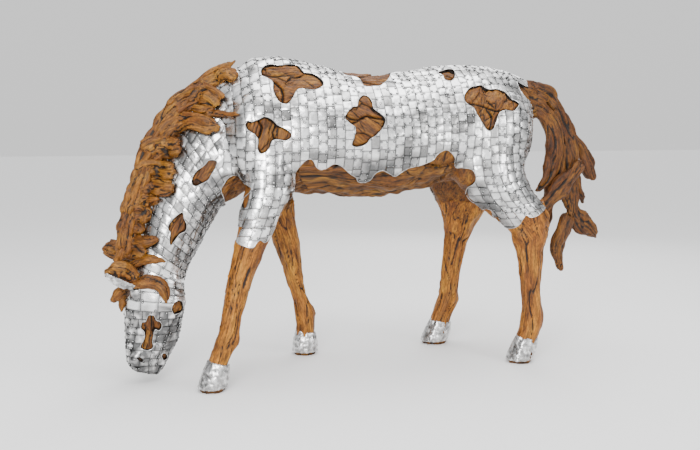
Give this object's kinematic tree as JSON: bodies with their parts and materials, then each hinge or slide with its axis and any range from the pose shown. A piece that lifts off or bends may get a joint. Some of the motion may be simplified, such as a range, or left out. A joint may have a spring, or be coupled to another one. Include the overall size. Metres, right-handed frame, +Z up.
{
  "type": "driftwood horse sculpture",
  "caption": "Life-size grazing horse sculpture built up of driftwood and clad in hammered sheet-metal tiles, standing on its own four hooves.",
  "frame": {"origin": "on the ground, under the middle of the whole sculpture", "axes": "+X towards the tail, -X towards the head, -Y the horse's left side, +Z up"},
  "size_m": [2.558, 0.59, 1.4729],
  "materials": {
    "body_driftwood": "satin",
    "mane_driftwood": "satin",
    "tail_driftwood": "satin",
    "sheet_metal": "hammered, semi-gloss",
    "hoof_metal": "hammered, semi-gloss"
  },
  "bodies": {
    "root": {"wood_body": "body_driftwood", "belly_log": "body_driftwood", "leg_near_fore": "body_driftwood", "leg_far_fore": "body_driftwood", "leg_near_hind": "body_driftwood", "leg_far_hind": "body_driftwood", "mane_crest_1": "mane_driftwood", "mane_crest_2": "mane_driftwood", "mane_crest_3": "mane_driftwood", "mane_crest_4": "mane_driftwood", "mane_crest_5": "mane_driftwood", "mane_lock_1": "mane_driftwood", "mane_lock_2": "mane_driftwood", "mane_lock_3": "mane_driftwood", "mane_lock_4": "mane_driftwood", "mane_lock_5": "mane_driftwood", "mane_lock_6": "mane_driftwood", "mane_lock_7": "mane_driftwood", "mane_lock_8": "mane_driftwood", "mane_lock_9": "mane_driftwood", "mane_lock_10": "mane_driftwood", "mane_lock_11": "mane_driftwood", "mane_lock_12": "mane_driftwood", "mane_lock_13": "mane_driftwood", "mane_lock_14": "mane_driftwood", "mane_lock_15": "mane_driftwood", "mane_far_1": "mane_driftwood", "mane_far_2": "mane_driftwood", "mane_far_3": "mane_driftwood", "mane_far_4": "mane_driftwood", "forelock_1": "mane_driftwood", "forelock_2": "mane_driftwood", "forelock_3": "mane_driftwood", "forelock_4": "mane_driftwood", "ear_near": "mane_driftwood", "ear_far": "mane_driftwood", "tail_root": "tail_driftwood", "tail_strand_inner": "tail_driftwood", "tail_strand_middle": "tail_driftwood", "tail_strand_outer": "tail_driftwood", "tail_plank": "tail_driftwood", "tail_tip_low": "tail_driftwood", "tail_tip_back": "tail_driftwood", "tail_spur": "tail_driftwood", "tail_strand_deep": "tail_driftwood", "metal_skin": "sheet_metal", "ear_lining": "sheet_metal", "hoof_near_fore": "hoof_metal", "hoof_far_fore": "hoof_metal", "hoof_near_hind": "hoof_metal", "hoof_far_hind": "hoof_metal"}
  },
  "joints": []
}
